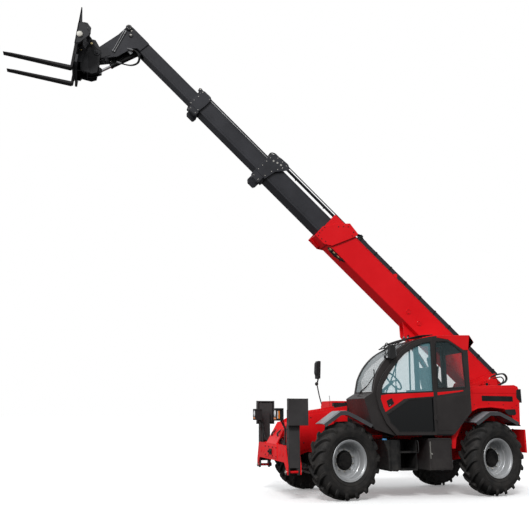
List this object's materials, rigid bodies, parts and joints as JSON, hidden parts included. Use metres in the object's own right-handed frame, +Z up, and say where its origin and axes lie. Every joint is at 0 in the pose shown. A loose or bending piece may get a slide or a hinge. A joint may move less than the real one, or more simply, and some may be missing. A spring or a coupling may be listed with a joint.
{
  "type": "telescopic handler",
  "caption": "Four-wheel telescopic handler with a side cab, a telescopic boom raised over it, a pallet-fork carriage and front stabiliser legs folded up.",
  "frame": {"origin": "on the ground, under the middle of the whole machine's box as parked with the boom raised; the mid-wheelbase point is 2.640 m behind it", "axes": "+X forward, +Y to the machine's left, the cab's side, +Z up"},
  "size_m": [9.9664, 2.5996, 8.8865],
  "materials": {
    "red_paint": "gloss",
    "charcoal_paint": "satin",
    "cab_charcoal": "satin",
    "black_paint": "satin",
    "fender_grey": "satin",
    "rim_silver": "satin",
    "tyre_rubber": "matte",
    "fork_steel": "worn satin",
    "rod_chrome": "polished",
    "engine_iron": "matte",
    "cab_glazing": "clear",
    "seat_fabric": "woven",
    "cab_plastic": "moulded",
    "black_plastic": "moulded"
  },
  "bodies": {
    "chassis": {"chassis_frame": "red_paint", "counterweight": "red_paint", "front_carrier": "red_paint", "front_axle": "black_paint", "rear_axle": "black_paint", "fenders": "fender_grey", "cab_frame": "cab_charcoal", "cab_glass": "cab_glazing", "seat": "seat_fabric", "steering_console": "cab_plastic", "rear_body": "red_paint", "engine_pod": "charcoal_paint", "engine": "engine_iron", "side_tank": "charcoal_paint", "cab_step": "black_paint", "toolbox": "charcoal_paint", "cab_mounts": "black_paint", "lamps": "black_plastic", "mirrors": "black_plastic"},
    "boom_1": {"boom_base": "red_paint", "hose_tray": "charcoal_paint"},
    "boom_2": {"boom_section_2": "charcoal_paint"},
    "boom_3": {"boom_section_3": "charcoal_paint"},
    "boom_4": {"boom_section_4": "charcoal_paint"},
    "carriage": {"coupler": "charcoal_paint", "fork_carriage": "charcoal_paint", "forks": "fork_steel"},
    "lift_barrel": {"lift_cylinder_barrel": "black_paint"},
    "lift_rod": {"lift_cylinder_rod": "rod_chrome"},
    "tilt_barrel": {"tilt_cylinder_barrel": "black_paint"},
    "tilt_rod": {"tilt_cylinder_rod": "rod_chrome"},
    "door": {"cab_door": "cab_charcoal", "door_glass": "cab_glazing"},
    "hood": {"engine_hood": "red_paint"},
    "stabilizer_left": {"stabilizer_leg_left": "charcoal_paint"},
    "stabilizer_barrel_left": {"stabilizer_barrel_left": "black_paint"},
    "stabilizer_rod_left": {"stabilizer_rod_left": "rod_chrome"},
    "stabilizer_right": {"stabilizer_leg_right": "charcoal_paint"},
    "stabilizer_barrel_right": {"stabilizer_barrel_right": "black_paint"},
    "stabilizer_rod_right": {"stabilizer_rod_right": "rod_chrome"},
    "knuckle_front_left": {"knuckle_front_left": "black_paint"},
    "wheel_front_left": {"tyre_front_left": "tyre_rubber", "rim_front_left": "rim_silver"},
    "knuckle_front_right": {"knuckle_front_right": "black_paint"},
    "wheel_front_right": {"tyre_front_right": "tyre_rubber", "rim_front_right": "rim_silver"},
    "knuckle_rear_left": {"knuckle_rear_left": "black_paint"},
    "wheel_rear_left": {"tyre_rear_left": "tyre_rubber", "rim_rear_left": "rim_silver"},
    "knuckle_rear_right": {"knuckle_rear_right": "black_paint"},
    "wheel_rear_right": {"tyre_rear_right": "tyre_rubber", "rim_rear_right": "rim_silver"}
  },
  "joints": [
    {"name": "boom_lift", "type": "hinge", "parent": "chassis", "child": "boom_1", "pos_m": [-4.48, 0, 2.005], "axis": [0, -1, 0], "range_deg": [-46, 27]},
    {"name": "section_2_slide", "type": "slide", "parent": "boom_1", "child": "boom_2", "axis": [0.7314, 0, 0.682], "range_m": [-1.2, 1.75]},
    {"name": "section_3_slide", "type": "slide", "parent": "boom_2", "child": "boom_3", "axis": [0.7314, 0, 0.682], "range_m": [-1.2, 1.75]},
    {"name": "section_4_slide", "type": "slide", "parent": "boom_3", "child": "boom_4", "axis": [0.7314, 0, 0.682], "range_m": [-1.2, 1.75]},
    {"name": "carriage_tilt", "type": "hinge", "parent": "boom_4", "child": "carriage", "pos_m": [3.32794, 0, 8.19216], "axis": [0, -1, 0], "range_deg": [-40, 35]},
    {"name": "lift_barrel_swing", "type": "hinge", "parent": "chassis", "child": "lift_barrel", "pos_m": [-4.24, 0, 0.98], "axis": [0, -1, 0], "range_deg": [-33.5, 20]},
    {"name": "lift_rod_slide", "type": "slide", "parent": "lift_barrel", "child": "lift_rod", "axis": [0.5502, 0, 0.835], "range_m": [-0.73, 0.43]},
    {"name": "tilt_barrel_swing", "type": "hinge", "parent": "boom_4", "child": "tilt_barrel", "pos_m": [2.51129, 0, 8.39049], "axis": [0, -1, 0], "range_deg": [-5.5, 4.8]},
    {"name": "tilt_rod_slide", "type": "slide", "parent": "tilt_barrel", "child": "tilt_rod", "axis": [0.8295, 0, -0.5586], "range_m": [-0.195, 0.17]},
    {"name": "stabilizer_left_swing", "type": "hinge", "parent": "chassis", "child": "stabilizer_left", "pos_m": [-0.295, 0.98, 0.48], "axis": [-1, 0, 0], "range_deg": [0, 104]},
    {"name": "stabilizer_barrel_left_swing", "type": "hinge", "parent": "chassis", "child": "stabilizer_barrel_left", "pos_m": [-0.295, 0.2, 0.98], "axis": [-1, 0, 0], "range_deg": [0, 4.8]},
    {"name": "stabilizer_rod_left_slide", "type": "slide", "parent": "stabilizer_barrel_left", "child": "stabilizer_rod_left", "axis": [0, 0.9581, -0.2866], "range_m": [0, 0.482]},
    {"name": "stabilizer_right_swing", "type": "hinge", "parent": "chassis", "child": "stabilizer_right", "pos_m": [-0.295, -0.98, 0.48], "axis": [1, 0, 0], "range_deg": [0, 104]},
    {"name": "stabilizer_barrel_right_swing", "type": "hinge", "parent": "chassis", "child": "stabilizer_barrel_right", "pos_m": [-0.295, -0.2, 0.98], "axis": [1, 0, 0], "range_deg": [0, 4.8]},
    {"name": "stabilizer_rod_right_slide", "type": "slide", "parent": "stabilizer_barrel_right", "child": "stabilizer_rod_right", "axis": [0, -0.9581, -0.2866], "range_m": [0, 0.482]},
    {"name": "front_left_steer", "type": "hinge", "parent": "chassis", "child": "knuckle_front_left", "pos_m": [-1.175, 0.78, 0.655], "axis": [0, 0, 1], "range_deg": [-38, 12]},
    {"name": "front_left_spin", "type": "hinge", "parent": "knuckle_front_left", "child": "wheel_front_left", "pos_m": [-1.21887, 0.97, 0.655], "axis": [-0.225, 0.9744, 0], "continuous": true},
    {"name": "front_right_steer", "type": "hinge", "parent": "chassis", "child": "knuckle_front_right", "pos_m": [-1.175, -0.78, 0.655], "axis": [0, 0, 1], "range_deg": [-38, 12]},
    {"name": "front_right_spin", "type": "hinge", "parent": "knuckle_front_right", "child": "wheel_front_right", "pos_m": [-1.13113, -0.97, 0.655], "axis": [-0.225, 0.9744, 0], "continuous": true},
    {"name": "rear_left_steer", "type": "hinge", "parent": "chassis", "child": "knuckle_rear_left", "pos_m": [-4.025, 0.78, 0.655], "axis": [0, 0, 1], "range_deg": [-38, 12]},
    {"name": "rear_left_spin", "type": "hinge", "parent": "knuckle_rear_left", "child": "wheel_rear_left", "pos_m": [-4.06887, 0.97, 0.655], "axis": [-0.225, 0.9744, 0], "continuous": true},
    {"name": "rear_right_steer", "type": "hinge", "parent": "chassis", "child": "knuckle_rear_right", "pos_m": [-4.025, -0.78, 0.655], "axis": [0, 0, 1], "range_deg": [-38, 12]},
    {"name": "rear_right_spin", "type": "hinge", "parent": "knuckle_rear_right", "child": "wheel_rear_right", "pos_m": [-3.98113, -0.97, 0.655], "axis": [-0.225, 0.9744, 0], "continuous": true},
    {"name": "cab_door_swing", "type": "hinge", "parent": "chassis", "child": "door", "pos_m": [-2.902, 1.178, 1.365], "axis": [0, 0, 1], "range_deg": [0, 100]},
    {"name": "hood_swing", "type": "hinge", "parent": "chassis", "child": "hood", "pos_m": [-2.54, -0.452, 1.67], "axis": [-1, 0, 0], "range_deg": [0, 75]}
  ],
  "couplings": [
    {"joint": "section_3_slide", "follows": "section_2_slide", "ratio": 1},
    {"joint": "section_4_slide", "follows": "section_2_slide", "ratio": 1},
    {"joint": "lift_barrel_swing", "follows": "boom_lift", "ratio": 0.715},
    {"joint": "lift_rod_slide", "follows": "boom_lift", "m_per_rad": 0.9},
    {"joint": "tilt_barrel_swing", "follows": "carriage_tilt", "ratio": 0.1326},
    {"joint": "tilt_rod_slide", "follows": "carriage_tilt", "m_per_rad": 0.273},
    {"joint": "stabilizer_barrel_left_swing", "follows": "stabilizer_left_swing", "ratio": 0.0448},
    {"joint": "stabilizer_rod_left_slide", "follows": "stabilizer_left_swing", "m_per_rad": 0.2642},
    {"joint": "stabilizer_barrel_right_swing", "follows": "stabilizer_right_swing", "ratio": 0.0448},
    {"joint": "stabilizer_rod_right_slide", "follows": "stabilizer_right_swing", "m_per_rad": 0.2642},
    {"joint": "front_right_steer", "follows": "front_left_steer", "ratio": 1},
    {"joint": "rear_right_steer", "follows": "rear_left_steer", "ratio": 1}
  ]
}
